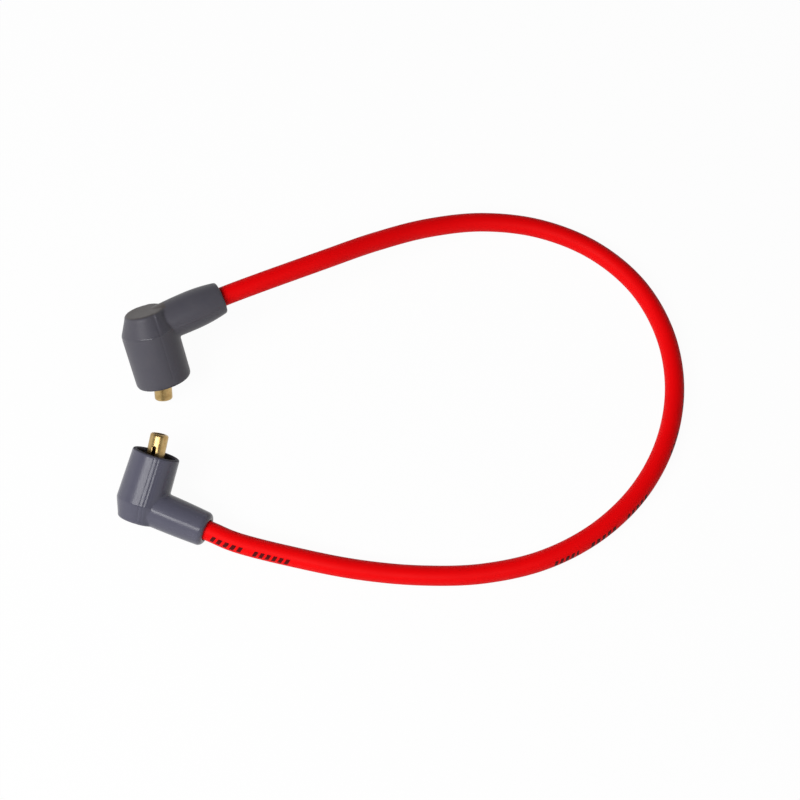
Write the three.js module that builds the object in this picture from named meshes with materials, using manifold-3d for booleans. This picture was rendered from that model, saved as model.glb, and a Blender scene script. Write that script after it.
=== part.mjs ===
// Ignition coil wire: a silicone high-tension lead lying in an open loop, with a right-angle
// rubber boot and a brass terminal on each end. Millimetres, +Z up. The lead and both boots
// rest on z = 0, and the origin is on that surface, midway between the two boots.

import * as THREE from 'three';
import { mergeVertices } from 'three/addons/utils/BufferGeometryUtils.js';
import Module from 'manifold-3d';

const wasm = await Module();
wasm.setup();

// Fits
const fitGap = 0.3;           // clearance between pieces that touch
const cutOver = 1;            // how far a cutting tool runs past the face it opens

const rightAngle = 90;

// Smoothness of round faces
const bootSides = 48;
const terminalSides = 32;
const layerSides = 12;        // jacket and insulation
const coreSides = 8;
const filletSteps = 4;
const swellSteps = 4;
const centreLineDivisions = 2000;

// Lead
const jacketDiameter = 8.5;
const jacketWall = 1.6;
const coreDiameter = 1.8;
const ringSpacing = 17;       // along the lead, two diameters

// Stripped ends of the lead, measured along the sleeve from the elbow
const jacketStart = 4;
const coreStart = -2.6;

// Terminal, stamped from one strip of brass
const brassThickness = 0.6;
const barrelDiameter = 7.8;
const barrelLength = 20;
const barrelStandOut = 8.4;   // how far the tip stands out of the boot's mouth
const leanInset = 4;          // where the leaning barrel crosses the boot's bore, inside the mouth
const tipRounding = 1;
const slotWidth = 1.55;
const slotFromTip = 5.4;
const neckWidth = 4.4;
const crimpLength = 7;
const coreCrimpLength = 3.5;
const crimpOffset = 0.4;      // from the jacket's cut end to the edge of its crimp
const crimpSeam = 0.5;        // gap where the two wings of a crimp meet

// Boots. A reach is measured from the elbow, where the axes of the body and the sleeve cross.
const coilBoot = {
  bendAngle: 95,              // degrees from the sleeve round to the mouth
  bodyDiameter: 24.5,
  mouthDiameter: 24.2,
  mouthReach: 25,
  mouthRounding: 1.6,
  closedReach: 8.3,
  closedDiameter: 17.6,
  bluntDiameter: 18.6,        // of the closed end on the sleeve's side
  closedRounding: 1.4,
  shoulderReach: 0.5,         // where the tapered closed end begins, towards the mouth
  facetEdge: 3.2,             // the steeper taper stops this far past the axis
  towerBore: 20,
  towerDepth: 15,
  ribHeight: 0.6,
  ribInset: 4,
  throatDiameter: 15.4,
  sleeveReach: 34.5,
  sleeveRootDiameter: 15.4,
  sleeveBellyDiameter: 17,
  sleeveBellyReach: 19.5,
  sleeveTipDiameter: 14.4,
  sleeveRounding: 1.3,
  leanAngle: 12,              // degrees by which the terminal's barrel leans from the sleeve
};
const distributorBoot = {
  bendAngle: 93.2,
  bodyDiameter: 21.7,
  mouthDiameter: 20.4,
  mouthReach: 22,
  mouthRounding: 0.7,
  closedReach: 8.2,
  closedDiameter: 16.8,
  bluntDiameter: 17.4,
  closedRounding: 1.6,
  shoulderReach: 0,
  facetEdge: 3.2,
  towerBore: 16.6,
  towerDepth: 13.5,
  ribHeight: 0.5,
  ribInset: 4,
  throatDiameter: 14.4,
  sleeveReach: 31,
  sleeveRootDiameter: 15.9,
  sleeveBellyDiameter: 16,
  sleeveBellyReach: 6,
  sleeveTipDiameter: 14.8,
  sleeveRounding: 2.2,
  leanAngle: 5,
};

// Where each elbow lies, which way its sleeve heads, and how far the body rolls about the
// sleeve. The coil boot leans on its mouth, the distributor boot on its closed end.
const coilPose = { x: -10.9, y: 36.1, heading: 26.5, roll: -132.5 };
const distributorPose = { x: -11.6, y: -38.4, heading: -23.8, roll: 29 };

// The lead runs straight along each sleeve as far as these distances from the elbow, and in
// between it passes through the points of its free run.
const coilStraight = [12, 24, 36];
const distributorStraight = [44, 33, 22, 11];
const freeRun = [
  [63.8, 72.4, 22.4],
  [86.7, 84.3, 17.7],
  [110.4, 94.3, 12.7],
  [135.7, 99.7, 8.6],
  [161.7, 97.8, 5.8],
  [185.6, 87.4, 4.5],
  [204.4, 69.1, 4.25],
  [215.4, 45.2, 4.25],
  [218.2, 19, 4.25],
  [212.9, -7, 4.25],
  [200.4, -30.2, 4.25],
  [181.6, -48.9, 4.25],
  [158.5, -61.6, 4.25],
  [132.8, -67.8, 4.3],
  [106.5, -68.9, 5],
  [80.3, -67, 6.8],
  [54.5, -62.6, 9.3],
];

// Radii that neighbouring pieces share
const jacketRadius = jacketDiameter / 2;
const jacketBoreRadius = jacketRadius - jacketWall;
const insulationRadius = jacketBoreRadius - fitGap;
const coreRadius = coreDiameter / 2;
const wireBoreRadius = jacketRadius + fitGap;
const crimpRadius = wireBoreRadius + brassThickness;
const coreBoreRadius = coreRadius + fitGap;
const coreCrimpRadius = coreBoreRadius + brassThickness;
const crimpStart = jacketStart + crimpOffset;
const crimpEnd = crimpStart + crimpLength;
const coreCrimpEnd = coreStart + coreCrimpLength;

const rubber = new THREE.MeshStandardMaterial({ color: 0x5c5b66, roughness: 0.55, metalness: 0 });
const silicone = new THREE.MeshStandardMaterial({ color: 0xe6070c, roughness: 0.4, metalness: 0 });
const insulator = new THREE.MeshStandardMaterial({ color: 0x24242a, roughness: 0.7, metalness: 0 });
const winding = new THREE.MeshStandardMaterial({ color: 0x8a5a3c, roughness: 0.4, metalness: 0.8 });
const brass = new THREE.MeshStandardMaterial({ color: 0xc9a04a, roughness: 0.3, metalness: 1 });

// A closed geometry, put in place by a matrix, as a solid that can be joined and cut.
function solid(geometry, place = new THREE.Matrix4()) {
  geometry.deleteAttribute('normal');
  geometry.deleteAttribute('uv');
  const merged = mergeVertices(geometry.applyMatrix4(place), 1e-4);
  const index = merged.index.array;
  const triangles = [];
  for (let i = 0; i < index.length; i += 3) {
    const [a, b, c] = index.slice(i, i + 3);
    if (a !== b && b !== c && c !== a) triangles.push(a, b, c);
  }
  return new wasm.Manifold(new wasm.Mesh({
    numProp: 3,
    vertProperties: merged.attributes.position.array,
    triVerts: new Uint32Array(triangles),
  }));
}

function geometryOf(body) {
  const { vertProperties, triVerts } = body.getMesh();
  const geometry = new THREE.BufferGeometry();
  geometry.setAttribute('position', new THREE.BufferAttribute(vertProperties, 3));
  geometry.setIndex(new THREE.BufferAttribute(triVerts, 1));
  geometry.computeVertexNormals();
  return geometry;
}

function namedMesh(name, geometry, material) {
  const mesh = new THREE.Mesh(geometry, material);
  mesh.name = name;
  return mesh;
}

function turnAboutZ(degrees) {
  return new THREE.Matrix4().makeRotationZ(THREE.MathUtils.degToRad(degrees));
}

// Points of a quarter round about the centre (x, y), for a turned profile.
function fillet(x, y, radius, fromDegrees) {
  return Array.from({ length: filletSteps + 1 }, (_, i) => {
    const angle = THREE.MathUtils.degToRad(fromDegrees + (rightAngle * i) / filletSteps);
    return [x + radius * Math.cos(angle), y + radius * Math.sin(angle)];
  });
}

// Turned about +Y from [radius, height] points, listed anticlockwise.
function turned(profile, sides) {
  return new THREE.LatheGeometry(profile.map(([r, y]) => new THREE.Vector2(r, y)), sides);
}

// Distance to the corners of a faceted bore whose flats lie on its radius.
function cornerRadius(radius, sides) {
  return radius / Math.cos(Math.PI / sides);
}

function rodAlongX(radius, fromX, toX) {
  const rod = new THREE.CylinderGeometry(radius, radius, toX - fromX, terminalSides);
  return rod.rotateZ(-Math.PI / 2).translate((fromX + toX) / 2, 0, 0);
}

function boreAlongX(radius, fromX, toX) {
  return rodAlongX(cornerRadius(radius, terminalSides), fromX, toX);
}

function block(low, high) {
  const size = high.map((value, i) => value - low[i]);
  const middle = high.map((value, i) => (value + low[i]) / 2);
  return new THREE.BoxGeometry(...size).translate(...middle);
}

// Body of a boot about +Y, with its mouth upwards and its closed end below.
function bodyOutside(boot, closedDiameter) {
  const mouthRadius = boot.mouthDiameter / 2;
  const { mouthReach, mouthRounding, closedReach, closedRounding } = boot;
  return turned([
    [0, -closedReach],
    ...fillet(closedDiameter / 2 - closedRounding, closedRounding - closedReach, closedRounding, -rightAngle),
    [boot.bodyDiameter / 2, boot.shoulderReach],
    ...fillet(mouthRadius - mouthRounding, mouthReach - mouthRounding, mouthRounding, 0),
    [0, mouthReach],
  ], bootSides);
}

// Points of the sleeve's outline from its belly, where it is widest, out to another reach.
function sleeveSwell(boot, diameter, reach) {
  const belly = boot.sleeveBellyDiameter / 2;
  return Array.from({ length: swellSteps }, (_, i) => {
    const share = (i + 1) / swellSteps;
    return [
      THREE.MathUtils.lerp(belly, diameter / 2, share ** 2),
      THREE.MathUtils.lerp(boot.sleeveBellyReach, reach, share),
    ];
  });
}

// Sleeve of a boot, swelling to a belly and closing in to its rounded tip.
function sleeveOutside(boot) {
  const { sleeveReach, sleeveRounding } = boot;
  const tipRadius = boot.sleeveTipDiameter / 2;
  return turned([
    [0, 0],
    ...sleeveSwell(boot, boot.sleeveRootDiameter, 0).reverse(),
    [boot.sleeveBellyDiameter / 2, boot.sleeveBellyReach],
    ...sleeveSwell(boot, boot.sleeveTipDiameter, sleeveReach - sleeveRounding),
    ...fillet(tipRadius - sleeveRounding, sleeveReach - sleeveRounding, sleeveRounding, 0).slice(1),
    [0, sleeveReach],
  ], bootSides);
}

// Bore that grips the coil's or the cap's tower, with a sealing rib, and a throat behind it.
function towerSpace(boot) {
  const radius = cornerRadius(boot.towerBore / 2, bootSides);
  const throatRadius = boot.throatDiameter / 2;
  const floorReach = boot.mouthReach - boot.towerDepth;
  const ribReach = boot.mouthReach - boot.ribInset;
  const { ribHeight } = boot;
  return turned([
    [0, 0],
    [throatRadius, 0],
    [throatRadius, floorReach],
    [radius, floorReach + radius - throatRadius],
    [radius, ribReach - 2 * ribHeight],
    [radius - ribHeight, ribReach],
    [radius, ribReach + 2 * ribHeight],
    [radius, boot.mouthReach + cutOver],
    [0, boot.mouthReach + cutOver],
  ], bootSides);
}

// Boot in its own frame: the sleeve along +X, the body's mouth towards +Y.
function bootSolid(boot) {
  const bodyTurn = turnAboutZ(boot.bendAngle - rightAngle);
  const bodyRadius = boot.bodyDiameter / 2;
  const tapered = solid(bodyOutside(boot, boot.closedDiameter), bodyTurn);
  const blunt = solid(bodyOutside(boot, boot.bluntDiameter), bodyTurn);
  const sleeveSide = solid(block(
    [boot.facetEdge, -boot.closedReach - cutOver, -bodyRadius - cutOver],
    [bodyRadius + cutOver, boot.mouthReach + cutOver, bodyRadius + cutOver],
  ), bodyTurn);
  const crimpChamber = boreAlongX(crimpRadius + fitGap, coreStart - fitGap, crimpEnd + fitGap);
  const wireBore = boreAlongX(wireBoreRadius, 0, boot.sleeveReach + cutOver);
  return tapered
    .add(blunt.intersect(sleeveSide))
    .add(solid(sleeveOutside(boot), turnAboutZ(-rightAngle)))
    .subtract(solid(towerSpace(boot), bodyTurn))
    .subtract(solid(crimpChamber))
    .subtract(solid(wireBore));
}

// Spring barrel about +Y, slotted on its +Z side. Its height is counted from where it crosses
// the boot's bore. Above the barrel only a neck stays, on the sleeve's side.
function barrelSolid(boot, place) {
  const outside = barrelDiameter / 2;
  const inside = outside - brassThickness;
  const tip = leanInset + barrelStandOut;
  const neckTop = leanInset - boot.mouthReach;
  const barrelTop = tip - barrelLength;
  const clear = outside + cutOver;
  const tube = turned([
    [inside, neckTop],
    [outside, neckTop],
    ...fillet(outside - tipRounding, tip - tipRounding, tipRounding, 0),
    [inside - tipRounding, tip],
    [inside - tipRounding, tip - brassThickness],
    [inside, tip - tipRounding],
    [inside, neckTop],
  ], terminalSides);
  const slot = block([-slotWidth / 2, neckTop - cutOver, 0], [slotWidth / 2, tip - slotFromTip, clear]);
  const aboveBarrel = block([-clear, neckTop - cutOver, -clear], [clear, barrelTop, clear]);
  const neck = block([0, neckTop - 2 * cutOver, -neckWidth / 2], [2 * clear, barrelTop + cutOver, neckWidth / 2]);
  return solid(tube, place)
    .subtract(solid(slot, place))
    .subtract(solid(aboveBarrel, place).subtract(solid(neck, place)));
}

// Base of the crimps, seen from the side: it steps out from the core's to the jacket's.
function crimpBase() {
  const outline = new THREE.Shape([
    [coreStart, coreBoreRadius],
    [coreCrimpEnd, coreBoreRadius],
    [crimpStart - 2 * brassThickness, wireBoreRadius],
    [crimpEnd, wireBoreRadius],
    [crimpEnd, crimpRadius],
    [crimpStart - 3 * brassThickness, crimpRadius],
    [coreCrimpEnd - brassThickness, coreCrimpRadius],
    [coreStart, coreCrimpRadius],
  ].map(([x, y]) => new THREE.Vector2(x, y)));
  const base = new THREE.ExtrudeGeometry(outline, { depth: neckWidth, bevelEnabled: false });
  return base.translate(0, 0, -neckWidth / 2);
}

// Terminal in its boot's frame: crimped to the lead along +X, with its barrel out of the mouth.
function terminalSolid(boot) {
  const place = turnAboutZ(boot.bendAngle - rightAngle)
    .multiply(new THREE.Matrix4().makeTranslation(0, boot.mouthReach - leanInset, 0))
    .multiply(turnAboutZ(boot.leanAngle));
  const clear = boot.bodyDiameter;
  const aboveBase = block([-clear, -clear, -clear], [clear, wireBoreRadius, clear]);
  const jacketSpace = boreAlongX(wireBoreRadius, jacketStart - fitGap, crimpEnd + cutOver);
  const coreSpace = boreAlongX(coreBoreRadius, coreStart - cutOver, crimpEnd);
  const seam = block(
    [coreStart - cutOver, -crimpRadius - cutOver, -crimpSeam / 2],
    [crimpEnd + cutOver, 0, crimpSeam / 2],
  );
  const crimpRound = rodAlongX(crimpRadius, coreStart, crimpEnd);
  return barrelSolid(boot, place)
    .subtract(solid(aboveBase))
    .add(solid(crimpBase()).intersect(solid(crimpRound)))
    .add(solid(rodAlongX(crimpRadius, crimpStart, crimpEnd)))
    .add(solid(rodAlongX(coreCrimpRadius, coreStart, coreCrimpEnd)))
    .subtract(solid(jacketSpace))
    .subtract(solid(coreSpace))
    .subtract(solid(seam));
}

// One end of the lead: a boot and its terminal, lowered until they touch the surface.
function posedEnd(name, boot, pose) {
  const end = new THREE.Group();
  end.add(namedMesh(`${name}_boot`, geometryOf(bootSolid(boot)), rubber));
  end.add(namedMesh(`${name}_terminal`, geometryOf(terminalSolid(boot)), brass));
  const [roll, heading] = [pose.roll, pose.heading].map(THREE.MathUtils.degToRad);
  end.rotation.set(roll, 0, heading, 'ZYX');
  end.position.set(pose.x, pose.y, 0);
  end.position.z = -new THREE.Box3().setFromObject(end, true).min.z;
  end.updateMatrixWorld(true);
  return end;
}

// A chain of rings along the centre line, so that every layer of the lead bends at the same
// places and keeps its clearance.
class RingPath extends THREE.Curve {
  constructor(centreLine, distances) {
    super();
    this.centreLine = centreLine;
    this.fractions = distances.map((distance) => distance / centreLine.getLength());
  }

  fractionAt(t) {
    const place = t * (this.fractions.length - 1);
    const ring = Math.min(Math.floor(place), this.fractions.length - 2);
    return THREE.MathUtils.lerp(this.fractions[ring], this.fractions[ring + 1], place - ring);
  }

  getPointAt(t) {
    return this.centreLine.getPointAt(this.fractionAt(t));
  }

  getTangentAt(t) {
    return this.centreLine.getTangentAt(this.fractionAt(t));
  }
}

function leadCentreLine(coilEnd, distributorEnd) {
  const along = (end) => (distance) => end.localToWorld(new THREE.Vector3(distance, 0, 0));
  const line = new THREE.CatmullRomCurve3([
    ...[coreStart, ...coilStraight].map(along(coilEnd)),
    ...freeRun.map((point) => new THREE.Vector3(...point)),
    ...[...distributorStraight, coreStart].map(along(distributorEnd)),
  ]);
  line.arcLengthDivisions = centreLineDivisions;
  return line;
}

function polygon(radius, sides) {
  return Array.from({ length: sides }, (_, i) => {
    const angle = (2 * Math.PI * i) / sides;
    return new THREE.Vector2(radius * Math.cos(angle), radius * Math.sin(angle));
  });
}

// One layer of the lead, solid or with a bore, swept from ring to ring.
function layer(centreLine, distances, radius, boreRadius, sides) {
  const section = new THREE.Shape(polygon(radius, sides));
  if (boreRadius) section.holes.push(new THREE.Path(polygon(cornerRadius(boreRadius, sides), sides)));
  const extrudePath = new RingPath(centreLine, distances);
  return new THREE.ExtrudeGeometry(section, { steps: distances.length - 1, extrudePath });
}

function addLead(assembly, coilEnd, distributorEnd) {
  const centreLine = leadCentreLine(coilEnd, distributorEnd);
  const coreLength = centreLine.getLength();
  const strip = jacketStart - coreStart;
  const jacketLength = coreLength - 2 * strip;
  const steps = Math.round(jacketLength / ringSpacing);
  const jacketRings = Array.from({ length: steps + 1 }, (_, i) => strip + (jacketLength * i) / steps);
  const coreRings = [0, ...jacketRings, coreLength];
  assembly.add(
    namedMesh('wire_jacket',
      layer(centreLine, jacketRings, jacketRadius, jacketBoreRadius, layerSides), silicone),
    namedMesh('wire_insulation',
      layer(centreLine, jacketRings, insulationRadius, coreBoreRadius, layerSides), insulator),
    namedMesh('conductor_core',
      layer(centreLine, coreRings, coreRadius, 0, coreSides), winding),
  );
}

const ignitionCoilWire = new THREE.Group();
const coilEnd = posedEnd('coil', coilBoot, coilPose);
const distributorEnd = posedEnd('distributor', distributorBoot, distributorPose);
ignitionCoilWire.add(coilEnd, distributorEnd);
addLead(ignitionCoilWire, coilEnd, distributorEnd);

export default ignitionCoilWire;
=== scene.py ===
# Ignition coil wire: a red silicone lead in an open loop, with a grey right-angle rubber boot
# and a slotted brass terminal on each end. Metres in the frame, millimetres on the bench.

import math

import bpy
from mathutils import Matrix, Vector


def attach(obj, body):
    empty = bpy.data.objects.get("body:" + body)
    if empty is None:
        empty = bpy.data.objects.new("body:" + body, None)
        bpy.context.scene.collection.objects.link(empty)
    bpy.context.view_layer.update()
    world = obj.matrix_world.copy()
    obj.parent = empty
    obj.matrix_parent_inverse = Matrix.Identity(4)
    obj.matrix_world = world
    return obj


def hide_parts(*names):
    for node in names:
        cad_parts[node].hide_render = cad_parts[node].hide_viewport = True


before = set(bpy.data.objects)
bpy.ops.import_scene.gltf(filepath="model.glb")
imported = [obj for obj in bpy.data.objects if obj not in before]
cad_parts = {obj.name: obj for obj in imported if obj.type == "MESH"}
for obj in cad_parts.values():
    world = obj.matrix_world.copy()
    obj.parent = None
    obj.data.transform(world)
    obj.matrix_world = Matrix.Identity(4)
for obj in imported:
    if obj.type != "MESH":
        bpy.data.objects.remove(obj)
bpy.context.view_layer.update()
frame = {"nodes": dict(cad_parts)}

mm = 0.001
print("frame loaded:", ", ".join(frame["nodes"]))


# Camera, looking down at the loop from the front
cameraView = {
    "target": (0.0977, 0.0125, 0.00425),
    "distance": 0.81981,
    "tilt": 25,                 # degrees away from straight down
    "lens": 84.33,
    "sensor": 36,
}


def addCamera(view):
    tilt = math.radians(view["tilt"])
    towards = Vector((0, -math.sin(tilt), math.cos(tilt)))
    place = Vector(view["target"]) + view["distance"] * towards
    bpy.ops.object.camera_add(location=place, rotation=(tilt, 0, 0))
    camera = bpy.context.active_object
    camera.data.lens = view["lens"]
    camera.data.sensor_width = view["sensor"]
    bpy.context.scene.camera = camera


addCamera(cameraView)
bpy.context.scene.view_settings.view_transform = "Standard"
print("camera placed")


# Small helpers for objects
def deselectAll():
    if bpy.context.mode != "OBJECT":
        bpy.ops.object.mode_set(mode="OBJECT")
    bpy.ops.object.select_all(action="DESELECT")


def selectOnly(piece):
    deselectAll()
    piece.select_set(True)
    bpy.context.view_layer.objects.active = piece


def applyModifiers(piece):
    selectOnly(piece)
    for modifier in list(piece.modifiers):
        bpy.ops.object.modifier_apply(modifier=modifier.name)


def putInPlace(piece, place):
    selectOnly(piece)
    piece.matrix_world = place
    bpy.ops.object.transform_apply(location=True, rotation=True, scale=True)
    return piece


def faceOutwards(piece):
    selectOnly(piece)
    bpy.ops.object.mode_set(mode="EDIT")
    bpy.ops.mesh.select_all(action="SELECT")
    bpy.ops.mesh.normals_make_consistent(inside=False)
    bpy.ops.object.mode_set(mode="OBJECT")


# Edges that bend more than the angle, in degrees, stay sharp
def shadeSmooth(piece, sharpAngle):
    selectOnly(piece)
    bpy.ops.object.shade_smooth_by_angle(angle=math.radians(sharpAngle))


# The two ends of the lead: where each elbow lies, which way its sleeve heads and how far its
# body rolls about the sleeve
coilPose = {"elbow": (-10.9, 36.1, 26.509), "heading": 26.5, "roll": -132.5}
distributorPose = {"elbow": (-11.6, -38.4, 10.731), "heading": -23.8, "roll": 29}


def poseTurn(pose):
    heading = Matrix.Rotation(math.radians(pose["heading"]), 4, "Z")
    return heading @ Matrix.Rotation(math.radians(pose["roll"]), 4, "X")


# From the bench, in millimetres with the elbow at its origin, to the frame in metres
def posePlace(pose):
    move = Matrix.Translation(Vector(pose["elbow"]) * mm)
    return move @ poseTurn(pose) @ Matrix.Scale(mm, 4)


# Lead: a red jacket over insulation and a core, all swept along one route
lead = {
    "jacketRadius": 4.25 * mm,
    "jacketBore": 2.65 * mm,
    "insulationRadius": 2.35 * mm,
    "insulationBore": 1.2 * mm,
    "coreRadius": 0.9 * mm,
    # millimetres along each sleeve, from its elbow
    "coreStart": -2.6,
    "jacketStart": 4,
    "coilStraight": (12, 24, 36),
    "distributorStraight": (44, 33, 22, 11),
    # metres in the frame
    "freeRun": [
        (0.0638, 0.0724, 0.0224),
        (0.0867, 0.0843, 0.0177),
        (0.1104, 0.0943, 0.0127),
        (0.1357, 0.0997, 0.0086),
        (0.1617, 0.0978, 0.0058),
        (0.1856, 0.0874, 0.0045),
        (0.2044, 0.0691, 0.00425),
        (0.2154, 0.0452, 0.00425),
        (0.2182, 0.0190, 0.00425),
        (0.2129, -0.0070, 0.00425),
        (0.2004, -0.0302, 0.00425),
        (0.1816, -0.0489, 0.00425),
        (0.1585, -0.0616, 0.00425),
        (0.1328, -0.0678, 0.0043),
        (0.1065, -0.0689, 0.0050),
        (0.0803, -0.0670, 0.0068),
        (0.0545, -0.0626, 0.0093),
    ],
    "ringSpacing": 1.5 * mm,
    "sides": 40,
    "innerSides": 24,
    "sharpAngle": 50,
}


def routePoints(lead):
    coil, distributor = posePlace(coilPose), posePlace(distributorPose)
    out = [coil @ Vector((reach, 0, 0)) for reach in (lead["coreStart"], *lead["coilStraight"])]
    back = [
        distributor @ Vector((reach, 0, 0))
        for reach in (*lead["distributorStraight"], lead["coreStart"])
    ]
    return out + [Vector(point) for point in lead["freeRun"]] + back


# A centripetal Catmull-Rom curve through the points, as a dense chain
def smoothLine(points, stepsEach=60):
    ends = [2 * points[0] - points[1], *points, 2 * points[-1] - points[-2]]
    line = []
    for before, start, end, after in zip(ends, ends[1:], ends[2:], ends[3:]):
        early, own, late = (
            math.sqrt((b - a).length) for a, b in ((before, start), (start, end), (end, after)))
        across = (end - start) / own
        leave = (start - before) / early - (end - before) / (early + own) + across
        arrive = across - (after - start) / (own + late) + (after - end) / late
        leave, arrive = leave * own, arrive * own
        for step in range(stepsEach):
            t = step / stepsEach
            line.append(
                start + leave * t
                + (3 * (end - start) - 2 * leave - arrive) * t ** 2
                + (2 * (start - end) + leave + arrive) * t ** 3
            )
    return line + [points[-1]]


# Evenly spaced points along a chain, between two distances from its start
def evenPoints(line, fromDistance, toDistance, spacing):
    count = round((toDistance - fromDistance) / spacing)
    wanted = [fromDistance + (toDistance - fromDistance) * i / count for i in range(count + 1)]
    points, travelled, i = [], 0, 0
    for distance in wanted:
        while i < len(line) - 2 and travelled + (line[i + 1] - line[i]).length < distance:
            travelled += (line[i + 1] - line[i]).length
            i += 1
        step = line[i + 1] - line[i]
        points.append(line[i] + step * min(1, (distance - travelled) / step.length))
    return points


def chainLength(points):
    return sum((b - a).length for a, b in zip(points, points[1:]))


# Rings round the chain. Angle 0 is the top, and it grows towards the outside of the loop.
# The UV map holds metres from the distributor's end and the share of a turn.
def sweptTube(name, chain, outerRadius, boreRadius, sides):
    rings = []
    for i, point in enumerate(chain):
        along = (chain[min(i + 1, len(chain) - 1)] - chain[max(i - 1, 0)]).normalized()
        outside = Vector((0, 0, 1)).cross(along).normalized()
        top = along.cross(outside)
        for radius in [outerRadius] + [boreRadius] * bool(boreRadius):
            ring = []
            for side in range(sides):
                angle = 2 * math.pi * side / sides
                ring.append(point + radius * (math.cos(angle) * top + math.sin(angle) * outside))
            rings.append(ring)
    walls = 2 if boreRadius else 1
    faces, uvs = [], []
    fullLength = chainLength(chain)
    reach = [fullLength * (1 - i / (len(chain) - 1)) for i in range(len(chain))]

    def addFace(corners):
        faces.append([ringIndex * sides + side % sides for ringIndex, side in corners])
        uvs.extend((reach[ringIndex // walls], side / sides) for ringIndex, side in corners)

    for i in range(len(chain) - 1):
        for wall in range(walls):
            first, second = i * walls + wall, (i + 1) * walls + wall
            for side in range(sides):
                addFace([(first, side), (first, side + 1), (second, side + 1), (second, side)])
    for ringIndex in (0, (len(chain) - 1) * walls):
        if walls == 2:
            for side in range(sides):
                inner = ringIndex + 1
                addFace([(ringIndex, side), (ringIndex, side + 1),
                         (inner, side + 1), (inner, side)])
        else:
            addFace([(ringIndex, side) for side in range(sides)])
    mesh = bpy.data.meshes.new(name)
    mesh.from_pydata([tuple(p) for ring in rings for p in ring], [], faces)
    layer = mesh.uv_layers.new(name="alongLead")
    for loop, uv in zip(layer.data, uvs):
        loop.uv = uv
    tube = bpy.data.objects.new(name, mesh)
    bpy.context.collection.objects.link(tube)
    faceOutwards(tube)
    shadeSmooth(tube, lead["sharpAngle"])
    return tube


centreLine = smoothLine(routePoints(lead))
coreLength = chainLength(centreLine)
strip = (lead["jacketStart"] - lead["coreStart"]) * mm
jacketChain = evenPoints(centreLine, strip, coreLength - strip, lead["ringSpacing"])
coreChain = evenPoints(centreLine, 0, coreLength, lead["ringSpacing"])
jacket = sweptTube("jacket", jacketChain, lead["jacketRadius"], lead["jacketBore"], lead["sides"])
insulation = sweptTube(
    "insulation", jacketChain, lead["insulationRadius"], lead["insulationBore"], lead["innerSides"])
core = sweptTube("core", coreChain, lead["coreRadius"], 0, lead["innerSides"])
print(f"lead swept: jacket {chainLength(jacketChain):.4f} m, core {coreLength:.4f} m")


# Bench work in millimetres
def turnedSolid(name, rings, sides):
    deselectAll()
    startRadius, startHeight = rings[0]
    bpy.ops.mesh.primitive_circle_add(
        vertices=sides, radius=startRadius, fill_type="NGON", location=(0, 0, startHeight))
    piece = bpy.context.active_object
    piece.name = name
    bpy.ops.object.mode_set(mode="EDIT")
    bpy.ops.mesh.select_all(action="SELECT")
    for (radius, height), (nextRadius, nextHeight) in zip(rings, rings[1:]):
        bpy.ops.mesh.extrude_region_move(
            TRANSFORM_OT_translate={"value": (0, 0, nextHeight - height)})
        grow = nextRadius / radius
        bpy.ops.transform.resize(value=(grow, grow, 1), center_override=(0, 0, nextHeight))
    bpy.ops.object.mode_set(mode="OBJECT")
    bpy.ops.object.transform_apply(location=True, rotation=True, scale=True)
    faceOutwards(piece)
    return piece


# Points of a quarter round between two directions, for a turned profile
def quarterRound(radius, height, rounding, fromDegrees, steps=6):
    return [
        (radius + rounding * math.cos(math.radians(fromDegrees + 90 * i / steps)),
         height + rounding * math.sin(math.radians(fromDegrees + 90 * i / steps)))
        for i in range(steps + 1)
    ]


def alongX(piece):
    return putInPlace(piece, Matrix.Rotation(math.radians(90), 4, "Y"))


def alongY(piece):
    return putInPlace(piece, Matrix.Rotation(math.radians(-90), 4, "X"))


def rod(name, radius, fromX, toX, sides=64):
    return alongX(turnedSolid(name, [(radius, fromX), (radius, toX)], sides))


def block(name, low, high):
    deselectAll()
    size = [b - a for a, b in zip(low, high)]
    middle = [(a + b) / 2 for a, b in zip(low, high)]
    bpy.ops.mesh.primitive_cube_add(size=1, location=middle, scale=size)
    piece = bpy.context.active_object
    piece.name = name
    bpy.ops.object.transform_apply(location=True, rotation=True, scale=True)
    return piece


def combine(piece, tool, operation):
    modifier = piece.modifiers.new("combine", "BOOLEAN")
    modifier.operation = operation
    modifier.solver = "EXACT"
    modifier.object = tool
    applyModifiers(piece)
    bpy.data.objects.remove(tool, do_unlink=True)
    return piece


# Even small faces all over, so that every edge and corner takes the soft round of a moulding
def soften(piece, voxel, rounds):
    remesh = piece.modifiers.new("remesh", "REMESH")
    remesh.mode = "VOXEL"
    remesh.voxel_size = voxel
    smooth = piece.modifiers.new("smooth", "SMOOTH")
    smooth.factor = 0.5
    smooth.iterations = rounds
    applyModifiers(piece)
    return piece


# Common to both ends
fit = 0.3                       # clearance between pieces that touch
cutOver = 1                     # how far a cutting tool reaches past what it cuts
boreRadius = 4.55               # of boot and crimp, round the jacket
crimpRadius = 5.15              # outside the crimp round the jacket
crimpStart, crimpEnd = 4.4, 11.4

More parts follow.
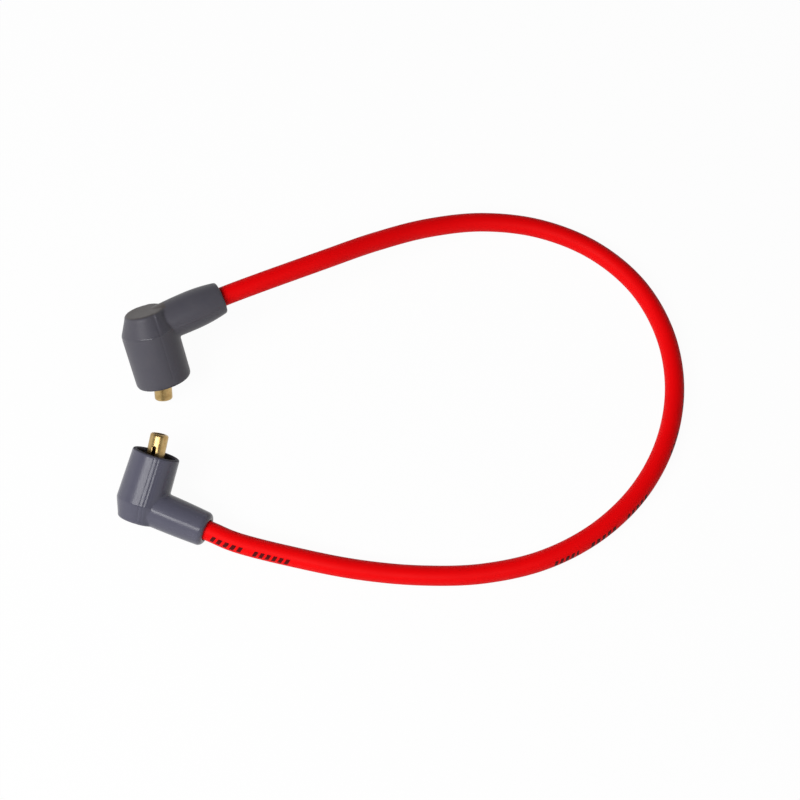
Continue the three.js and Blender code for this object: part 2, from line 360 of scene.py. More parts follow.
# Boots. Reaches are measured from the elbow: a body's towards its mouth, or the other way to its
# closed end, and a sleeve's towards the lead. The closed end is blunter on the sleeve's side.
# A parting line is its distance from the body's middle and its depth.
coilBoot = {
    "bend": 95, "bodyDiameter": 24.5, "shoulderReach": 0.5,
    "mouthDiameter": 24.2, "mouthReach": 25, "mouthRounding": 1.6,
    "closedDiameter": 17.6, "closedReach": 8.3, "closedRounding": 1.4,
    "bluntDiameter": 18.6, "bluntFrom": 3.2,
    "towerBore": 20, "towerDepth": 15, "ribHeight": 0.6, "ribInset": 4, "throatDiameter": 15.4,
    "sleeveRootDiameter": 15.4, "sleeveBellyDiameter": 17, "sleeveBellyReach": 19.5,
    "sleeveTipDiameter": 14.4, "sleeveReach": 34.5, "sleeveRounding": 1.3,
    "lean": 12,                 # of its terminal, in degrees
    "partingLines": ((2.4, 0.09),), "voxel": 0.32,
}
distributorBoot = {
    "bend": 93.2, "bodyDiameter": 21.7, "shoulderReach": 0,
    "mouthDiameter": 20.4, "mouthReach": 22, "mouthRounding": 0.7,
    "closedDiameter": 16.8, "closedReach": 8.2, "closedRounding": 1.6,
    "bluntDiameter": 17.4, "bluntFrom": 3.2,
    "towerBore": 16.6, "towerDepth": 13.5, "ribHeight": 0.5, "ribInset": 4, "throatDiameter": 14.4,
    "sleeveRootDiameter": 15.9, "sleeveBellyDiameter": 16, "sleeveBellyReach": 6,
    "sleeveTipDiameter": 14.8, "sleeveReach": 31, "sleeveRounding": 2.2,
    "lean": 5,
    "partingLines": ((2.7, 0.17), (4.3, 0.12), (5.7, 0.06)), "voxel": 0.3,
}

# How both are moulded. The parting lines keep clear of the body's two ends by a margin, of its
# middle by a share of the closed end's radius, and of the bore by a share of the rib's height.
moulding = {
    "sides": 128, "smoothRounds": 8, "sharpAngle": 60, "partingWidth": 0.3, "innermost": 0.8,
    "closedMargin": 1.5, "mouthMargin": 0.5, "boreMargin": 0.6,
}


# Body of a boot, standing on its closed end
def bodyRings(boot, closedDiameter):
    foot, footEdge = closedDiameter / 2, boot["closedRounding"]
    mouth, mouthEdge = boot["mouthDiameter"] / 2, boot["mouthRounding"]
    return [
        *quarterRound(foot - footEdge, footEdge - boot["closedReach"], footEdge, -90),
        (boot["bodyDiameter"] / 2, boot["shoulderReach"]),
        *quarterRound(mouth - mouthEdge, boot["mouthReach"] - mouthEdge, mouthEdge, 0),
    ]


def sleeveRings(boot, steps=10):
    belly, bellyReach = boot["sleeveBellyDiameter"] / 2, boot["sleeveBellyReach"]
    root, tip = boot["sleeveRootDiameter"] / 2, boot["sleeveTipDiameter"] / 2
    reach, edge = boot["sleeveReach"], boot["sleeveRounding"]
    shares = [(i + 1) / steps for i in range(steps)]
    rise = [(belly + (root - belly) * s ** 2, bellyReach * (1 - s)) for s in shares]
    run = reach - edge - bellyReach
    fall = [(belly + (tip - belly) * s ** 2, bellyReach + run * s) for s in shares]
    rounded = quarterRound(tip - edge, reach - edge, edge, 0)
    return [*reversed(rise), (belly, bellyReach), *fall, *rounded[1:]]


def towerRings(boot):
    bore, throat, rib = boot["towerBore"] / 2, boot["throatDiameter"] / 2, boot["ribHeight"]
    floor = boot["mouthReach"] - boot["towerDepth"]
    ribReach = boot["mouthReach"] - boot["ribInset"]
    return [
        (throat, 0), (throat, floor), (bore, floor + bore - throat), (bore, ribReach - 2 * rib),
        (bore - rib, ribReach), (bore, ribReach + 2 * rib), (bore, boot["mouthReach"] + cutOver),
    ]


# Fine lines left by the mould's inserts, sunk into the body's two broad sides
def sinkPartingLines(piece, boot, bodyTurn):
    back = bodyTurn.inverted()
    lowest = moulding["closedMargin"] - boot["closedReach"]
    highest = boot["mouthReach"] - moulding["mouthMargin"]
    innermost = moulding["innermost"] * boot["closedDiameter"] / 2
    boreClear = boot["towerBore"] / 2 + moulding["boreMargin"] * boot["ribHeight"]
    for vertex in piece.data.vertices:
        x, y, z = back @ vertex.co
        if not lowest < y < highest or abs(z) < innermost or math.hypot(x, z) < boreClear:
            continue
        depth = sum(deepest * math.exp(-(((x - line) / moulding["partingWidth"]) ** 2))
                    for line, deepest in boot["partingLines"])
        z -= math.copysign(depth, z)
        vertex.co = bodyTurn @ Vector((x, y, z))


def makeBoot(name, boot, pose):
    bodyTurn = Matrix.Rotation(math.radians(boot["bend"] - 90), 4, "Z")
    half = boot["bodyDiameter"] / 2 + cutOver
    sides = moulding["sides"]
    body = alongY(turnedSolid(name, bodyRings(boot, boot["closedDiameter"]), sides))
    blunt = alongY(turnedSolid("blunt", bodyRings(boot, boot["bluntDiameter"]), sides))
    sleeveSide = block("sleeveSide", (boot["bluntFrom"], -boot["closedReach"] - cutOver, -half),
                       (half, boot["mouthReach"] + cutOver, half))
    combine(body, combine(blunt, sleeveSide, "INTERSECT"), "UNION")
    combine(body, alongY(turnedSolid("tower", towerRings(boot), sides)), "DIFFERENCE")
    putInPlace(body, bodyTurn)
    sleeve = alongX(turnedSolid("sleeve", sleeveRings(boot), sides))
    inside = putInPlace(alongY(turnedSolid("inside", towerRings(boot), sides)), bodyTurn)
    combine(sleeve, inside, "DIFFERENCE")
    combine(body, sleeve, "UNION")
    chamber = rod("chamber", crimpRadius + fit, lead["coreStart"] - fit, crimpEnd + fit)
    combine(body, chamber, "DIFFERENCE")
    combine(body, rod("wireBore", boreRadius, 0, boot["sleeveReach"] + cutOver), "DIFFERENCE")
    soften(body, boot["voxel"], moulding["smoothRounds"])
    sinkPartingLines(body, boot, bodyTurn)
    putInPlace(body, posePlace(pose))
    shadeSmooth(body, moulding["sharpAngle"])
    print(f"{name}: {len(body.data.polygons)} faces")
    return body


coilBootPiece = makeBoot("coilBoot", coilBoot, coilPose)
distributorBootPiece = makeBoot("distributorBoot", distributorBoot, distributorPose)


# Terminals: one strip of brass, rolled into a slotted spring barrel, a neck and two crimps
terminal = {
    "thickness": 0.6, "barrelDiameter": 7.8, "barrelLength": 20, "tipRounding": 1, "tipSteps": 8,
    "standOut": 8.4,            # past the boot's mouth
    "leanInset": 4,             # from the mouth to the point that it leans about
    "slotWidth": 1.55, "slotFromTip": 5.4, "neckWidth": 4.4, "coreCrimpEnd": 0.9, "coreBore": 1.2,
    "seam": 0.5, "sides": 96, "slotSides": 32, "voxel": 0.17, "smoothRounds": 3, "sharpAngle": 50,
}


# The tip is turned in round its open end, and a slot runs along one side from below it
def makeBarrel(boot, place):
    rounding, thickness = terminal["tipRounding"], terminal["thickness"]
    outside = terminal["barrelDiameter"] / 2
    inside = outside - thickness
    tip = terminal["leanInset"] + terminal["standOut"]
    neckTop = terminal["leanInset"] - boot["mouthReach"]
    barrelTop = tip - terminal["barrelLength"]
    clear = outside + cutOver
    barrel = turnedSolid("barrel", [
        (outside, neckTop),
        *quarterRound(outside - rounding, tip - rounding, rounding, 0, terminal["tipSteps"]),
    ], terminal["sides"])
    hollow = turnedSolid("hollow", [
        (inside, neckTop - cutOver),
        *quarterRound(inside - rounding, tip - rounding, rounding, 0)[:-1],
        (inside - rounding, tip - thickness), (inside - rounding, tip + cutOver),
    ], terminal["sides"])
    barrel = combine(alongY(barrel), alongY(hollow), "DIFFERENCE")
    slotHalf = terminal["slotWidth"] / 2
    slotEnd = tip - terminal["slotFromTip"] - slotHalf
    slot = block("slot", (-slotHalf, neckTop - cutOver, 0), (slotHalf, slotEnd, clear))
    combine(barrel, slot, "DIFFERENCE")
    slotRound = turnedSolid("slotRound", [(slotHalf, 0), (slotHalf, clear)], terminal["slotSides"])
    putInPlace(slotRound, Matrix.Translation((0, slotEnd, 0)))
    combine(barrel, slotRound, "DIFFERENCE")
    above = block("above", (-clear, neckTop - cutOver, -clear), (clear, barrelTop, clear))
    halfNeck = terminal["neckWidth"] / 2
    neck = block("neck", (0, neckTop - 2 * cutOver, -halfNeck),
                 (2 * clear, barrelTop + cutOver, halfNeck))
    combine(barrel, combine(above, neck, "DIFFERENCE"), "DIFFERENCE")
    return putInPlace(barrel, place)


# Base of the crimps: an outline seen from the side, given the neck's width
def makeCrimpBase():
    thickness, start, end = terminal["thickness"], lead["coreStart"], terminal["coreCrimpEnd"]
    coreOuter = terminal["coreBore"] + thickness
    outline = [
        (start, terminal["coreBore"]), (end, terminal["coreBore"]),
        (crimpStart - 2 * thickness, boreRadius), (crimpEnd, boreRadius), (crimpEnd, crimpRadius),
        (crimpStart - 3 * thickness, crimpRadius), (end - thickness, coreOuter), (start, coreOuter),
    ]
    half = terminal["neckWidth"] / 2
    mesh = bpy.data.meshes.new("crimpBase")
    mesh.from_pydata([(x, y, -half) for x, y in outline], [], [list(range(len(outline)))])
    base = bpy.data.objects.new("crimpBase", mesh)
    bpy.context.collection.objects.link(base)
    selectOnly(base)
    bpy.ops.object.mode_set(mode="EDIT")
    bpy.ops.mesh.select_all(action="SELECT")
    bpy.ops.mesh.extrude_region_move(TRANSFORM_OT_translate={"value": (0, 0, 2 * half)})
    faceOutwards(base)
    return combine(base, rod("crimpRound", crimpRadius, start, crimpEnd), "INTERSECT")


def makeTerminal(name, boot, pose):
    start = lead["coreStart"]
    clear = boot["bodyDiameter"]
    place = (
        Matrix.Rotation(math.radians(boot["bend"] - 90), 4, "Z")
        @ Matrix.Translation((0, boot["mouthReach"] - terminal["leanInset"], 0))
        @ Matrix.Rotation(math.radians(boot["lean"]), 4, "Z")
    )
    piece = makeBarrel(boot, place)
    piece.name = name
    coreOuter = terminal["coreBore"] + terminal["thickness"]
    aboveBase = block("aboveBase", (-clear, -clear, -clear), (clear, boreRadius, clear))
    combine(piece, aboveBase, "DIFFERENCE")
    combine(piece, makeCrimpBase(), "UNION")
    combine(piece, rod("jacketCrimp", crimpRadius, crimpStart, crimpEnd), "UNION")
    combine(piece, rod("coreCrimp", coreOuter, start, terminal["coreCrimpEnd"]), "UNION")
    combine(piece, rod("jacketSpace", boreRadius, lead["jacketStart"] - fit, crimpEnd + cutOver),
            "DIFFERENCE")
    combine(piece, rod("coreSpace", terminal["coreBore"], start - cutOver, crimpEnd), "DIFFERENCE")
    halfSeam = terminal["seam"] / 2
    seam = block("seam", (start - cutOver, -crimpRadius - cutOver, -halfSeam),
                 (crimpEnd + cutOver, 0, halfSeam))
    combine(piece, seam, "DIFFERENCE")
    soften(piece, terminal["voxel"], terminal["smoothRounds"])
    putInPlace(piece, posePlace(pose))
    shadeSmooth(piece, terminal["sharpAngle"])
    print(f"{name}: {len(piece.data.polygons)} faces")
    return piece


coilTerminalPiece = makeTerminal("coilTerminal", coilBoot, coilPose)
distributorTerminalPiece = makeTerminal("distributorTerminal", distributorBoot, distributorPose)


# Materials
noiseLow, noiseHigh = 0.3, 0.7  # nearly all of a noise lies between these


def linear(hexColour):
    channels = [int(hexColour[i:i + 2], 16) / 255 for i in (1, 3, 5)]
    return (*(c / 12.92 if c <= 0.04045 else ((c + 0.055) / 1.055) ** 2.4 for c in channels), 1)


def newMaterial(name):
    material = bpy.data.materials.new(name)
    material.use_nodes = True
    material.node_tree.nodes.clear()
    return material


# Adds a node, sets its properties and inputs, and links its inputs to (node, output)
def addNode(tree, kind, settings=None, values=None, links=None):
    node = tree.nodes.new(kind)
    for key, value in (settings or {}).items():
        setattr(node, key, value)
    for socket, value in (values or {}).items():
        node.inputs[socket].default_value = value
    for socket, (source, output) in (links or {}).items():
        tree.links.new(source.outputs[output], node.inputs[socket])
    return node


# Moulded rubber, dark blue-grey: an even satin skin with a faint cloudy bloom and the fine
# grain of a spark-eroded mould. The mouth's rim is rough, and its darker colour is painted shade;
# the closed end can be browner, which is painted warm light; and the edge where the closed end
# begins to taper is rubbed smooth. Sizes and depths are in millimetres.
# the rim colour is painted shade on the mouth's rim; the foot colour is painted warm light on the
# closed end
coilRubber = {
    "colour": "#44434C", "bloom": "#4B494F", "bloomSize": 7, "roughness": (0.38, 0.46),
    "specular": 0.3, "grainSize": 0.35, "grainDepth": 0.02, "foot": "#46403F", "warmLitFootWidth": 0.5,
    "shadedRim": "#3E3D44", "rimWidth": 0.2, "rimRoughness": 0.7, "edgeRoughness": 0.18, "edgeWidth": 0.5,
}
# the rim colour here too is painted shade; the foot colour is the rubber's own, so no light is
# painted there
distributorRubber = {
    "colour": "#484856", "bloom": "#504F5C", "bloomSize": 7, "roughness": (0.22, 0.28),
    "specular": 0.33, "grainSize": 0.5, "grainDepth": 0.01, "foot": "#484856", "warmLitFootWidth": 0.5,
    "shadedRim": "#3E3D48", "rimWidth": 0.2, "rimRoughness": 0.7, "edgeRoughness": 0.18, "edgeWidth": 0.5,
}


def mouldedRubber(name, look, boot, pose):
    material = newMaterial(name)
    tree = material.node_tree
    place = addNode(tree, "ShaderNodeTexCoord")
    # as on the bench, but in metres: X towards the lead and Y towards the mouth
    turn = poseTurn(pose) @ Matrix.Rotation(math.radians(boot["bend"] - 90), 4, "Z")
    upright = addNode(tree, "ShaderNodeMapping", {"vector_type": "TEXTURE"},
                      {"Location": Vector(pose["elbow"]) * mm, "Rotation": turn.to_euler()},
                      {"Vector": (place, "Object")})
    axes = addNode(tree, "ShaderNodeSeparateXYZ", links={"Vector": (upright, 0)})
    # painted shade: a band at the mouth's rim takes the darker rim colour and a rougher finish
    reach = boot["mouthReach"] - boot["mouthRounding"] / 2
    shadedRim = addNode(tree, "ShaderNodeMapRange",
                  values={"From Min": (reach - look["rimWidth"]) * mm, "From Max": reach * mm},
                  links={"Value": (axes, "Y")})
    # painted warm light: the closed end's face, short of the sleeve, takes the browner foot colour
    closedReach = boot["closedReach"] * mm
    foot = addNode(tree, "ShaderNodeMapRange",
                   values={"From Min": look["warmLitFootWidth"] * mm - closedReach,
                           "From Max": -closedReach},
                   links={"Value": (axes, "Y")})
    beforeSleeve = addNode(tree, "ShaderNodeMath", {"operation": "LESS_THAN"},
                           {1: boot["bluntDiameter"] / 2 * mm}, {0: (axes, "X")})
    foot = addNode(tree, "ShaderNodeMath", {"operation": "MULTIPLY"},
                   links={0: (foot, 0), 1: (beforeSleeve, 0)})
    bloom = addNode(tree, "ShaderNodeTexNoise",
                    values={"Scale": 1 / (look["bloomSize"] * mm), "Detail": 5, "Roughness": 0.6},
                    links={"Vector": (place, "Object")})
    colour = addNode(tree, "ShaderNodeMix", {"data_type": "RGBA"},
                     {6: linear(look["colour"]), 7: linear(look["bloom"])}, {0: (bloom, 0)})
    # paints the warm light on the closed end, then the shade on the rim
    for end, tint in ((foot, look["foot"]), (shadedRim, look["shadedRim"])):
        colour = addNode(tree, "ShaderNodeMix", {"data_type": "RGBA"}, {7: linear(tint)},
                         {0: (end, 0), 6: (colour, 2)})
    roughness = addNode(tree, "ShaderNodeMapRange",
                        values={"From Min": noiseLow, "From Max": noiseHigh,
                                "To Min": look["roughness"][0],
                                "To Max": look["roughness"][1]},
                        links={"Value": (bloom, 0)})
    onEdge = addNode(tree, "ShaderNodeMath", {"operation": "COMPARE"},
                     {1: boot["shoulderReach"] * mm, 2: look["edgeWidth"] * mm}, {0: (axes, "Y")})
    roughness = addNode(tree, "ShaderNodeMix", values={3: look["edgeRoughness"]},
                        links={0: (onEdge, 0), 2: (roughness, 0)})
    roughness = addNode(tree, "ShaderNodeMix", values={3: look["rimRoughness"]},
                        links={0: (shadedRim, 0), 2: (roughness, 0)})
    grain = addNode(tree, "ShaderNodeTexNoise",
                    values={"Scale": 1 / (look["grainSize"] * mm), "Detail": 3, "Roughness": 0.55},
                    links={"Vector": (place, "Object")})
    bump = addNode(tree, "ShaderNodeBump",
                   values={"Strength": 0.6, "Distance": look["grainDepth"] * mm},
                   links={"Height": (grain, 0)})
    shader = addNode(tree, "ShaderNodeBsdfPrincipled",
                     values={"IOR": 1.52, "Specular IOR Level": look["specular"]},
                     links={"Base Color": (colour, 2), "Roughness": (roughness, 0),
                            "Normal": (bump, 0)})
    addNode(tree, "ShaderNodeOutputMaterial", links={"Surface": (shader, 0)})
    return material


# Extruded silicone, saturated red: nearly matt, with drawing lines along it too fine to see
# one by one, drawn 0.5 mm apart, and a row of plain ink dashes on its outer side
siliconeLook = {
    "colour": "#E40307", "deeper": "#DA0206", "roughness": (0.5, 0.6), "specular": 0.15,
    "lineSpacing": 0.5, "lineDepth": 0.012, "stretch": 100, "cloudSize": 12,
    # the print winds slowly round the lead: degrees from the top, and more for each millimetre
    "ink": "#3C0508", "inkAngle": 53.5, "inkTwist": 0.1, "inkHeight": 2.9, "inkSlant": 0.35,
    "dashShare": 0.6,
    # the ink is a little thinner in small spots, where a noise is low
    "wearSize": 0.25, "wearNoise": (0.36, 0.56), "worn": 0.88,
    # each run of dashes: start, end and pitch, in millimetres from the lead's end
    "inkRuns": [
        (30.7, 44, 2.9), (49, 64.3, 2.7), (175, 186, 2.5), (192, 206, 2.8), (211.5, 226, 2.8),
        (246, 258, 2.9), (267, 284, 2.9),
    ],
}


def extrudedSilicone(name, look):
    material = newMaterial(name)
    tree = material.node_tree
    uvMap = addNode(tree, "ShaderNodeUVMap", {"uv_map": "alongLead"})
    axes = addNode(tree, "ShaderNodeSeparateXYZ", links={"Vector": (uvMap, 0)})
    # round the lead in metres, from the middle of the print
    turn = 2 * math.pi * lead["jacketRadius"]
    middle = addNode(tree, "ShaderNodeMath", {"operation": "MULTIPLY_ADD"},
                     {1: look["inkTwist"] / 360 / mm, 2: look["inkAngle"] / 360}, {0: (axes, "X")})
    around = addNode(tree, "ShaderNodeMath", {"operation": "SUBTRACT"},
                     links={0: (axes, "Y"), 1: (middle, 0)})
    around = addNode(tree, "ShaderNodeMath", {"operation": "MULTIPLY"}, {1: turn}, {0: (around, 0)})
    height = addNode(tree, "ShaderNodeMath", {"operation": "ABSOLUTE"}, links={0: (around, 0)})
    onBand = addNode(tree, "ShaderNodeMath", {"operation": "LESS_THAN"},
                     {1: look["inkHeight"] * mm / 2}, {0: (height, 0)})
    slant = addNode(tree, "ShaderNodeMath", {"operation": "MULTIPLY_ADD"}, {1: look["inkSlant"]},
                    {0: (around, 0), 2: (axes, "X")})
    ink = None
    for start, end, pitch in look["inkRuns"]:
        fromStart = addNode(tree, "ShaderNodeMath", {"operation": "SUBTRACT"}, {1: start * mm},
                            {0: (slant, 0)})
        half = (end - start) / 2 * mm
        within = addNode(tree, "ShaderNodeMath", {"operation": "COMPARE"}, {1: half, 2: half},
                         {0: (fromStart, 0)})
        step = addNode(tree, "ShaderNodeMath", {"operation": "MODULO"}, {1: pitch * mm},
                       {0: (fromStart, 0)})
        dash = addNode(tree, "ShaderNodeMath", {"operation": "LESS_THAN"},
                       {1: look["dashShare"] * pitch * mm}, {0: (step, 0)})
        run = addNode(tree, "ShaderNodeMath", {"operation": "MULTIPLY"},
                      links={0: (within, 0), 1: (dash, 0)})
        if ink is None:
            ink = run
        else:
            ink = addNode(tree, "ShaderNodeMath", {"operation": "MAXIMUM"},
                          links={0: (ink, 0), 1: (run, 0)})
    place = addNode(tree, "ShaderNodeTexCoord")
    wear = addNode(tree, "ShaderNodeTexNoise",
                   values={"Scale": 1 / (look["wearSize"] * mm), "Detail": 2},
                   links={"Vector": (place, "Object")})
    wear = addNode(tree, "ShaderNodeMapRange",
                   values={"From Min": look["wearNoise"][0], "From Max": look["wearNoise"][1],
                           "To Min": look["worn"], "To Max": 1},
                   links={"Value": (wear, 0)})
    for limit in (onBand, wear):
        ink = addNode(tree, "ShaderNodeMath", {"operation": "MULTIPLY"},
                      links={0: (ink, 0), 1: (limit, 0)})
    # drawing lines: a noise stretched along the lead
    slow = addNode(tree, "ShaderNodeMath", {"operation": "DIVIDE"}, {1: look["stretch"]},
                   {0: (axes, "X")})
    stretched = addNode(tree, "ShaderNodeCombineXYZ", links={"X": (slow, 0), "Y": (around, 0)})
    lines = addNode(tree, "ShaderNodeTexNoise",
                    values={"Scale": 1 / (look["lineSpacing"] * mm), "Detail": 2},
                    links={"Vector": (stretched, 0)})
    clouds = addNode(tree, "ShaderNodeTexNoise",
                     values={"Scale": 1 / (look["cloudSize"] * mm), "Detail": 4},
                     links={"Vector": (place, "Object")})
    colour = addNode(tree, "ShaderNodeMix", {"data_type": "RGBA"},
                     {6: linear(look["colour"]), 7: linear(look["deeper"])}, {0: (clouds, 0)})
    inked = addNode(tree, "ShaderNodeMix", {"data_type": "RGBA"}, {7: linear(look["ink"])},
                    {0: (ink, 0), 6: (colour, 2)})
    roughness = addNode(tree, "ShaderNodeMapRange",
                        values={"From Min": noiseLow, "From Max": noiseHigh,
                                "To Min": look["roughness"][0],
                                "To Max": look["roughness"][1]},
                        links={"Value": (clouds, 0)})
    bump = addNode(tree, "ShaderNodeBump",
                   values={"Strength": 0.5, "Distance": look["lineDepth"] * mm},
                   links={"Height": (lines, 0)})
    shader = addNode(tree, "ShaderNodeBsdfPrincipled",
                     values={"IOR": 1.41, "Specular IOR Level": look["specular"]},
                     links={"Base Color": (inked, 2), "Roughness": (roughness, 0),
                            "Normal": (bump, 0)})
    addNode(tree, "ShaderNodeOutputMaterial", links={"Surface": (shader, 0)})
    return material


# Rolled brass strip: bright warm yellow, with rolling lines along the barrel 0.15 mm apart and
# a slightly browner tarnish in patches
brassLook = {
    "colour": "#BFA36E", "roughness": (0.26, 0.36), "lineSpacing": 0.15, "lineDepth": 0.006,
    "stretch": 40, "tarnish": "#8F6B38", "patchSize": 2.5, "patchNoise": (0.45, 0.75),
    "tarnishShare": 0.7,
}


def rolledBrass(name, look, pose, boot):
    material = newMaterial(name)
    tree = material.node_tree
    lean = Matrix.Rotation(math.radians(boot["bend"] - 90 + boot["lean"]), 4, "Z")
    place = addNode(tree, "ShaderNodeTexCoord")
    upright = addNode(tree, "ShaderNodeMapping", {"vector_type": "TEXTURE"},
                      {"Rotation": (poseTurn(pose) @ lean).to_euler()},
                      {"Vector": (place, "Object")})
    squeezed = addNode(tree, "ShaderNodeMapping",
                       values={"Scale": (1, 1 / look["stretch"], 1)},
                       links={"Vector": (upright, 0)})
    lines = addNode(tree, "ShaderNodeTexNoise",
                    values={"Scale": 1 / (look["lineSpacing"] * mm), "Detail": 3},
                    links={"Vector": (squeezed, 0)})
    patches = addNode(tree, "ShaderNodeTexNoise",
                      values={"Scale": 1 / (look["patchSize"] * mm), "Detail": 5},
                      links={"Vector": (place, "Object")})
    amount = addNode(tree, "ShaderNodeMapRange",
                     values={"From Min": look["patchNoise"][0], "From Max": look["patchNoise"][1],
                             "To Max": look["tarnishShare"]},
                     links={"Value": (patches, 0)})
    colour = addNode(tree, "ShaderNodeMix", {"data_type": "RGBA"},
                     {6: linear(look["colour"]), 7: linear(look["tarnish"])}, {0: (amount, 0)})
    roughness = addNode(tree, "ShaderNodeMapRange",
                        values={"From Min": noiseLow, "From Max": noiseHigh,
                                "To Min": look["roughness"][0],
                                "To Max": look["roughness"][1]},
                        links={"Value": (lines, 0)})
    bump = addNode(tree, "ShaderNodeBump",
                   values={"Strength": 0.5, "Distance": look["lineDepth"] * mm},
                   links={"Height": (lines, 0)})
    shader = addNode(tree, "ShaderNodeBsdfPrincipled", values={"Metallic": 1},
                     links={"Base Color": (colour, 2), "Roughness": (roughness, 0),
                            "Normal": (bump, 0)})
    addNode(tree, "ShaderNodeOutputMaterial", links={"Surface": (shader, 0)})
    return material


# Black insulating rubber under a glass braid: dull, with the braid's crossing strands pressed
# into it, 1.2 mm apart
insulationLook = {
    "colour": "#232329", "strand": "#3A3A40", "spacing": 1.2, "depth": 0.05, "roughness": 0.7,
}

# Resistance wire wound on a ferrite-filled core: bronze-brown turns 0.3 mm apart, drawn three
# times as coarse as real ones so that they show
coreLook = {
    "colour": "#8A5A3C", "groove": "#3A241A", "spacing": 0.3, "depth": 0.04, "roughness": 0.38,
}


def spiralCovered(name, look, radius, crossed, metallic):
    material = newMaterial(name)
    tree = material.node_tree
    uvMap = addNode(tree, "ShaderNodeUVMap", {"uv_map": "alongLead"})
    axes = addNode(tree, "ShaderNodeSeparateXYZ", links={"Vector": (uvMap, 0)})
    waves = []
    for hand in (1, -1) if crossed else (1,):
        # one phase turn for each strand along the lead, and a whole number round it
        along = addNode(tree, "ShaderNodeMath", {"operation": "MULTIPLY"},
                        {1: 2 * math.pi / (look["spacing"] * mm)}, {0: (axes, "X")})
        strands = round(2 * math.pi * radius / (look["spacing"] * mm)) if crossed else 1
        phase = addNode(tree, "ShaderNodeMath", {"operation": "MULTIPLY_ADD"},
                        {1: 2 * math.pi * hand * strands}, {0: (axes, "Y"), 2: (along, 0)})
        waves.append(addNode(tree, "ShaderNodeMath", {"operation": "SINE"}, links={0: (phase, 0)}))
    height = waves[0]
    if crossed:
        height = addNode(tree, "ShaderNodeMath", {"operation": "MAXIMUM"},
                         links={0: (waves[0], 0), 1: (waves[1], 0)})
    share = addNode(tree, "ShaderNodeMapRange", values={"From Min": -1, "From Max": 1},
                    links={"Value": (height, 0)})
    low, high = (look["colour"], look["strand"]) if crossed else (look["groove"], look["colour"])
    colour = addNode(tree, "ShaderNodeMix", {"data_type": "RGBA"},
                     {6: linear(low), 7: linear(high)}, {0: (share, 0)})
    bump = addNode(tree, "ShaderNodeBump", values={"Strength": 0.8, "Distance": look["depth"] * mm},
                   links={"Height": (share, 0)})
    shader = addNode(tree, "ShaderNodeBsdfPrincipled",
                     values={"Metallic": metallic, "Roughness": look["roughness"]},
                     links={"Base Color": (colour, 2), "Normal": (bump, 0)})
    addNode(tree, "ShaderNodeOutputMaterial", links={"Surface": (shader, 0)})
    return material


def dress(piece, material, node):
    piece.data.materials.clear()
    piece.data.materials.append(material)
    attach(piece, "root")
    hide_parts(node)


dress(coilBootPiece, mouldedRubber("satinRubber", coilRubber, coilBoot, coilPose),
      "coil_boot")
dress(distributorBootPiece,
      mouldedRubber("glossRubber", distributorRubber, distributorBoot, distributorPose),
      "distributor_boot")
dress(coilTerminalPiece, rolledBrass("coilBrass", brassLook, coilPose, coilBoot),
      "coil_terminal")
dress(distributorTerminalPiece,
      rolledBrass("distributorBrass", brassLook, distributorPose, distributorBoot),
      "distributor_terminal")
dress(jacket, extrudedSilicone("extrudedSilicone", siliconeLook), "wire_jacket")
dress(insulation,
      spiralCovered("braidedInsulation", insulationLook, lead["insulationRadius"], True, 0),
      "wire_insulation")
dress(core, spiralCovered("woundCore", coreLook, lead["coreRadius"], False, 0.8),
      "conductor_core")

# Studio: a white floor that keeps a faint shadow, one long narrow softbox that draws the bright
# streaks, a broad soft fill that isn't mirrored, and a white room whose ceiling is dim
studio = {
    "floorSize": 6, "floorDrop": 0.0002, "floorColour": "#DDDDDD", "floorGlow": 0.96,
    "roomLight": 0.22, "ceilingLight": 0.2, "ceilingFrom": 0.2, "ceilingTo": 0.6,
}
keyBox = {
    "facing": (-0.005, 0, 0.015), "towards": (-0.185, -0.585, 0.78), "distance": 0.8,
    "along": (0.94, -0.345, 0), "size": (0.78, 0.16), "power": 3.3, "mirrored": True,
}
fillBox = {
    "facing": cameraView["target"], "towards": (-0.75, -0.45, 1), "distance": 1.3,
    "along": (1, 0, 0), "size": (0.9, 0.9), "power": 15, "mirrored": False,
}


# 1 for rays that the background is seen by, straight, mirrored or through glass
def seenDirectly(tree):
    path = addNode(tree, "ShaderNodeLightPath")
    seen = addNode(tree, "ShaderNodeMath", {"operation": "MAXIMUM"},
                   links={0: (path, "Is Camera Ray"), 1: (path, "Is Glossy Ray")})
    return addNode(tree, "ShaderNodeMath", {"operation": "MAXIMUM"},
                   links={0: (seen, 0), 1: (path, "Is Transmission Ray")})


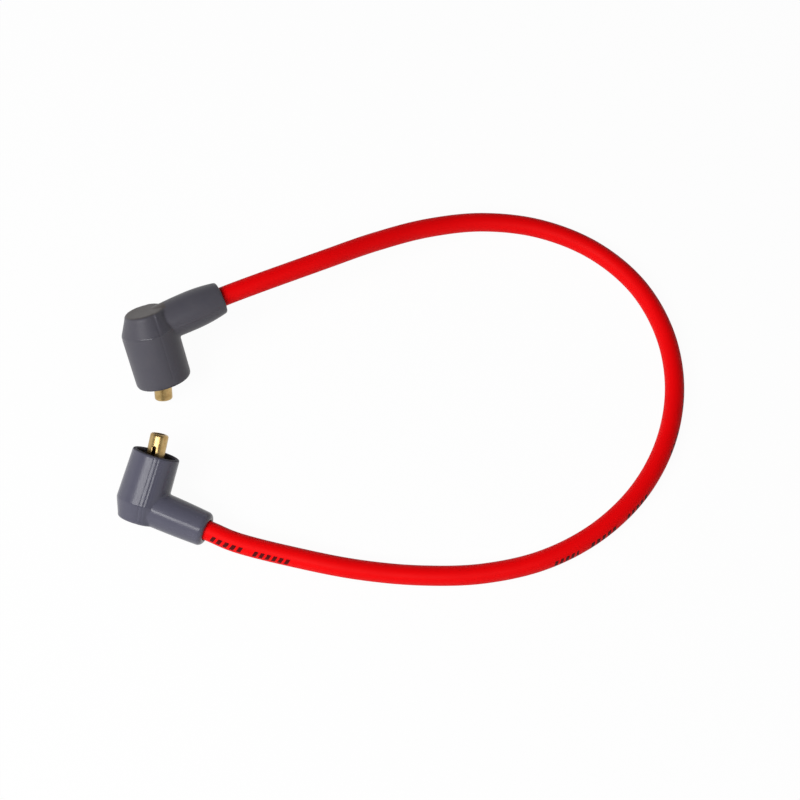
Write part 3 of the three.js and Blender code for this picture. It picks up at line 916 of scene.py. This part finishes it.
def addFloor(studio):
    deselectAll()
    bpy.ops.mesh.primitive_plane_add(
        size=studio["floorSize"], location=(0, 0, -studio["floorDrop"]))
    floor = bpy.context.active_object
    floor.name = "floor"
    bpy.ops.object.transform_apply(location=True, rotation=True, scale=True)
    material = newMaterial("paperFloor")
    tree = material.node_tree
    paper = addNode(tree, "ShaderNodeBsdfDiffuse", values={"Color": linear(studio["floorColour"])})
    glow = addNode(tree, "ShaderNodeEmission", values={"Color": (1, 1, 1, 1), "Strength": 1})
    share = addNode(tree, "ShaderNodeMath", {"operation": "MULTIPLY"}, {1: studio["floorGlow"]},
                    {0: (seenDirectly(tree), 0)})
    mixed = addNode(tree, "ShaderNodeMixShader", links={0: (share, 0), 1: (paper, 0), 2: (glow, 0)})
    addNode(tree, "ShaderNodeOutputMaterial", links={"Surface": (mixed, 0)})
    floor.data.materials.append(material)


def addRoom(studio):
    world = bpy.data.worlds.new("whiteRoom")
    bpy.context.scene.world = world
    world.use_nodes = True
    tree = world.node_tree
    tree.nodes.clear()
    strength = addNode(tree, "ShaderNodeMapRange",
                       values={"To Min": studio["roomLight"], "To Max": 1},
                       links={"Value": (seenDirectly(tree), 0)})
    direction = addNode(tree, "ShaderNodeTexCoord")
    axes = addNode(tree, "ShaderNodeSeparateXYZ", links={"Vector": (direction, "Generated")})
    ceiling = addNode(tree, "ShaderNodeMapRange", {"interpolation_type": "SMOOTHSTEP"},
                      {"From Min": studio["ceilingFrom"], "From Max": studio["ceilingTo"],
                       "To Min": 1, "To Max": studio["ceilingLight"]},
                      {"Value": (axes, "Z")})
    strength = addNode(tree, "ShaderNodeMath", {"operation": "MULTIPLY"},
                       links={0: (strength, 0), 1: (ceiling, 0)})
    room = addNode(tree, "ShaderNodeBackground", values={"Color": (1, 1, 1, 1)},
                   links={"Strength": (strength, 0)})
    addNode(tree, "ShaderNodeOutputWorld", links={"Surface": (room, 0)})


def addSoftbox(name, look):
    deselectAll()
    bpy.ops.object.light_add(type="AREA")
    box = bpy.context.active_object
    box.name = name
    box.data.shape = "RECTANGLE"
    box.data.size, box.data.size_y = look["size"]
    box.data.energy = look["power"]
    box.visible_glossy = look["mirrored"]
    back = Vector(look["towards"]).normalized()
    along = Vector(look["along"])
    side = (along - along.dot(back) * back).normalized()
    up = back.cross(side)
    place = Matrix.Translation(Vector(look["facing"]) + look["distance"] * back)
    box.matrix_world = place @ Matrix((side, up, back)).transposed().to_4x4()


addFloor(studio)
addRoom(studio)
addSoftbox("key", keyBox)
addSoftbox("fill", fillBox)
print("studio lit")
